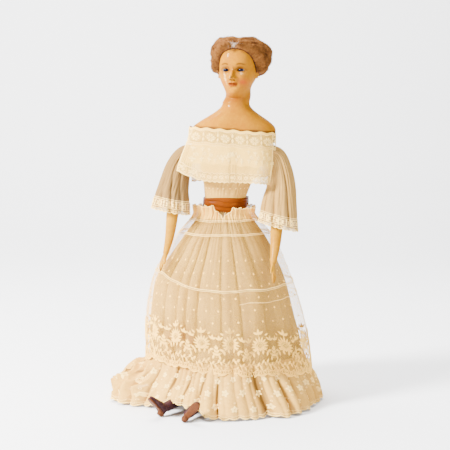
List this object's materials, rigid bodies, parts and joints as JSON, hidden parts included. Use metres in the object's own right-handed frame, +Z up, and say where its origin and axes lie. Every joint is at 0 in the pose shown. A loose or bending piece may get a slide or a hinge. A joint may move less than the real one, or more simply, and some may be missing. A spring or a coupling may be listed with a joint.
{
  "type": "wax doll",
  "caption": "Standing lady doll with a wax shoulder head and forearms, mohair wig, lace collar, bell sleeves, satin sash, sheer embroidered overskirt and flounce with a train.",
  "frame": {"origin": "on the floor, under the middle of the skirt", "axes": "+Z up; the doll faces -Y, so her own left hand is at +X"},
  "size_m": [0.2844, 0.2864, 0.4985],
  "materials": {
    "wax": "aged honey-coloured wax, satin",
    "eye_glass": "dark blown glass, glossy",
    "mohair": "crimped light brown mohair",
    "lawn": "aged cream cotton lawn, matte",
    "lace": "white cotton lace, matte",
    "satin": "rust-coloured silk satin",
    "net": "sheer cream cotton net",
    "cotton": "sheer cream cotton, embroidered",
    "leather": "worn tan leather"
  },
  "bodies": {
    "root": {"shoulder_head": "wax", "arm_left": "wax", "arm_right": "wax", "eye_left": "eye_glass", "eye_right": "eye_glass", "wig": "mohair", "bodice": "lawn", "sleeve_left": "lawn", "sleeve_right": "lawn", "collar": "lace", "sash": "satin", "sash_bow": "satin", "underskirt": "lawn", "flounce": "cotton", "overskirt": "net", "boot_left": "leather", "boot_right": "leather"}
  },
  "joints": []
}
